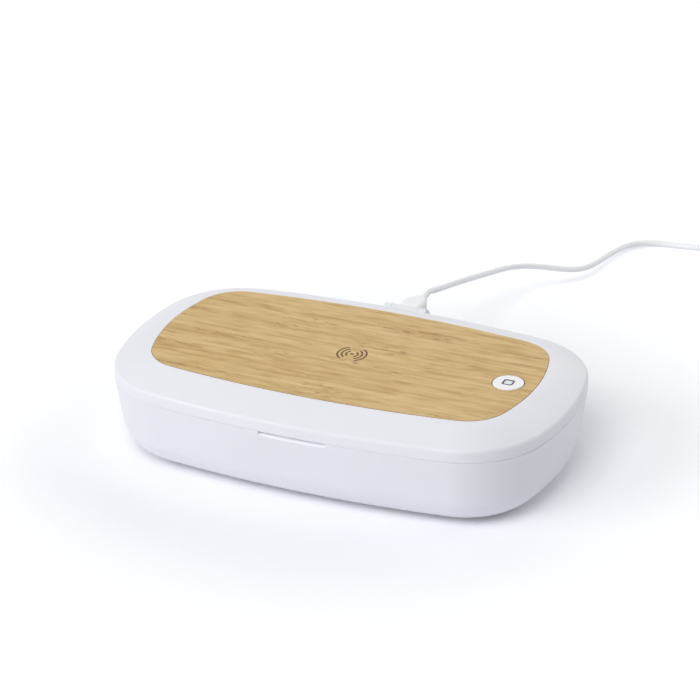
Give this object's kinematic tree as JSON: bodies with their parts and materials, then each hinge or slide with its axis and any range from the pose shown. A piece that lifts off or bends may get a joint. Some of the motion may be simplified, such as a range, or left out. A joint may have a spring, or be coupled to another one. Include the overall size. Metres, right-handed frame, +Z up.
{
  "type": "uv sanitizer box for phones",
  "caption": "Long white box with round corners and an inlaid wooden panel in its hinged lid, a push button, ultraviolet lamps round an inner chamber, a charging pad and a cord at the back.",
  "frame": {"origin": "On the resting plane, under the middle of the box and its hinge barrel.", "axes": "+X along the length towards the button, +Y to the hinge at the back, +Z up; the front faces -Y."},
  "size_m": [0.2623, 0.3521, 0.0503],
  "materials": {
    "white_shell": "satin moulded ABS",
    "liner_white": "fine matt moulded ABS",
    "bamboo": "sanded laminated bamboo, clear satin oil",
    "button_white": "satin moulded ABS",
    "frame_dark": "dark moulded ring",
    "light_pipe": "frosted clear acrylic",
    "foot_rubber": "matt moulded",
    "seal_rubber": "soft silicone",
    "rest_silicone": "soft translucent silicone",
    "reflector_sheet": "brushed bright sheet",
    "screw_steel": "zinc plated",
    "spring_steel": "drawn spring wire",
    "plug_steel": "nickel plated",
    "magnet_nickel": "nickel plated",
    "board_green": "solder mask on glass laminate",
    "lamp_ceramic": "gold plated ceramic package",
    "lamp_glass": "polished quartz",
    "coil_copper": "enamelled copper litz",
    "ferrite": "sintered ferrite",
    "lead_black": "moulded",
    "cord_white": "smooth soft jacket",
    "tie_white": "soft strap"
  },
  "bodies": {
    "base": {"base_shell": "white_shell", "base_feet": "foot_rubber", "base_screws": "screw_steel", "inner_tray": "liner_white", "floor_reflector": "reflector_sheet", "phone_rests": "rest_silicone", "base_lamp_boards": "board_green", "base_lamp_chips": "lamp_ceramic", "base_lamp_windows": "lamp_glass", "power_board": "board_green", "usb_socket": "plug_steel", "socket_lead": "lead_black", "base_magnets": "magnet_nickel", "sensor_magnet": "magnet_nickel", "hinge_pins": "screw_steel", "cord_plug": "cord_white", "cord_plug_shell": "plug_steel", "cord_strain_relief": "cord_white", "cord_cable": "cord_white", "cord_coil": "cord_white", "cord_tie": "tie_white", "charger_plug": "cord_white", "charger_plug_shell": "plug_steel"},
    "lid": {"lid_shell": "white_shell", "bamboo_panel": "bamboo", "lid_liner": "liner_white", "lid_reflector": "reflector_sheet", "lid_seal": "seal_rubber", "lid_screws": "screw_steel", "lid_lamp_boards": "board_green", "lid_lamp_chips": "lamp_ceramic", "lid_lamp_windows": "lamp_glass", "charging_coil": "coil_copper", "ferrite_sheet": "ferrite", "control_board": "board_green", "push_switch": "lead_black", "lid_sensor": "lead_black", "lid_magnets": "magnet_nickel", "button_spring": "spring_steel"},
    "button": {"button_cap": "button_white", "button_frame": "frame_dark", "button_light_pipe": "light_pipe", "switch_plunger": "lead_black"}
  },
  "joints": [
    {"name": "lid_hinge", "type": "hinge", "parent": "base", "child": "lid", "pos_m": [0, 0.06425, 0.04], "axis": [-1, 0, 0], "range_deg": [0, 95]},
    {"name": "button_press", "type": "slide", "parent": "lid", "child": "button", "axis": [0, 0, -1], "range_m": [0, 0.0005], "stiffness_N_per_m": 600, "springref_m": -0.001, "deforming": ["button_spring"]}
  ]
}
